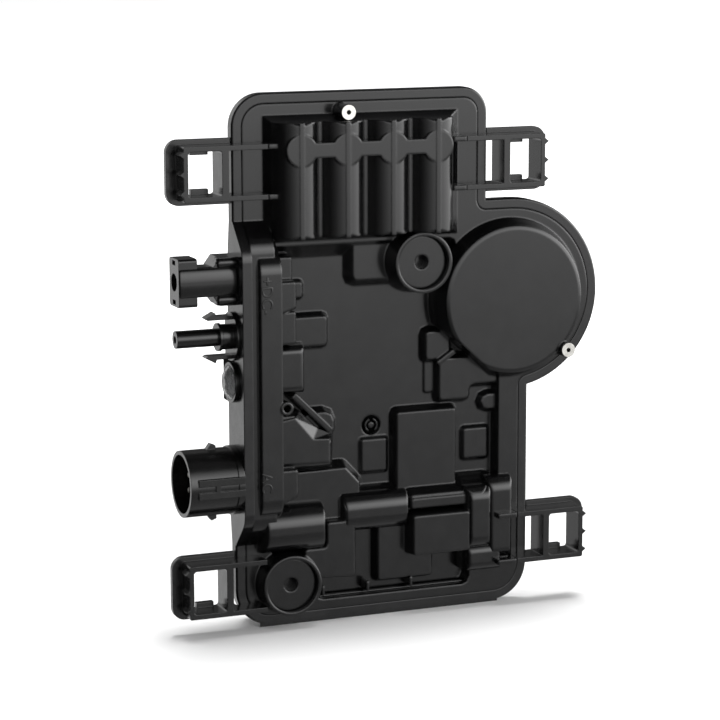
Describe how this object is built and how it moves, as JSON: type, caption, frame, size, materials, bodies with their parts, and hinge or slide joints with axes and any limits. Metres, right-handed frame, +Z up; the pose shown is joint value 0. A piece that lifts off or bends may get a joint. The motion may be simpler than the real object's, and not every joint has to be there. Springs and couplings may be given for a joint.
{
  "type": "solar microinverter",
  "caption": "Flat sealed solar microinverter with a moulded relief cover, side connectors and clip-on mounting tabs, standing on its lower edge.",
  "frame": {"origin": "on the underside of the foot, halfway through its depth and 50 mm from its left end", "axes": "+X to the right and +Z up as seen from the side with the relief; +Y away from that side"},
  "size_m": [0.1838, 0.0303, 0.2128],
  "materials": {
    "gloss_plastic": "glossy",
    "matte_plastic": "satin",
    "rubber": "matte",
    "contact_metal": "tin plated",
    "clear_plastic": "clear",
    "steel": "satin",
    "fibreglass": "satin",
    "resin": "satin",
    "aluminium": "satin",
    "ferrite": "matte",
    "copper": "enamelled"
  },
  "bodies": {
    "root": {"front_housing": "gloss_plastic", "rear_housing": "gloss_plastic", "housing_gasket": "rubber", "dc_positive_connector": "matte_plastic", "dc_positive_contact": "contact_metal", "dc_positive_seal": "rubber", "dc_negative_connector": "matte_plastic", "dc_negative_contact": "contact_metal", "dc_negative_seal": "rubber", "ac_connector_shell": "matte_plastic", "ac_connector_insert": "matte_plastic", "ac_contact_pins": "contact_metal", "ac_connector_seal": "rubber", "indicator_bezel": "matte_plastic", "indicator_lens": "clear_plastic", "light_pipe": "clear_plastic", "status_lamp": "clear_plastic", "upper_boss_plug": "matte_plastic", "lower_boss_plug": "matte_plastic", "upper_post_sleeve": "steel", "right_post_sleeve": "steel", "circuit_board": "fibreglass", "potting_compound": "resin", "heat_spreader": "aluminium", "transformer_core": "ferrite", "transformer_winding": "copper", "power_relay": "matte_plastic", "filter_capacitor": "matte_plastic", "switch_stage": "matte_plastic", "controller_module": "matte_plastic", "surge_filter": "matte_plastic", "output_choke": "copper", "line_choke": "copper", "mounting_tab_upper_left": "matte_plastic", "mounting_tab_upper_right": "matte_plastic", "mounting_tab_lower_right": "matte_plastic", "mounting_tab_lower_left": "matte_plastic", "input_capacitor_1": "aluminium", "input_capacitor_2": "aluminium", "input_capacitor_3": "aluminium", "input_capacitor_4": "aluminium"}
  },
  "joints": []
}
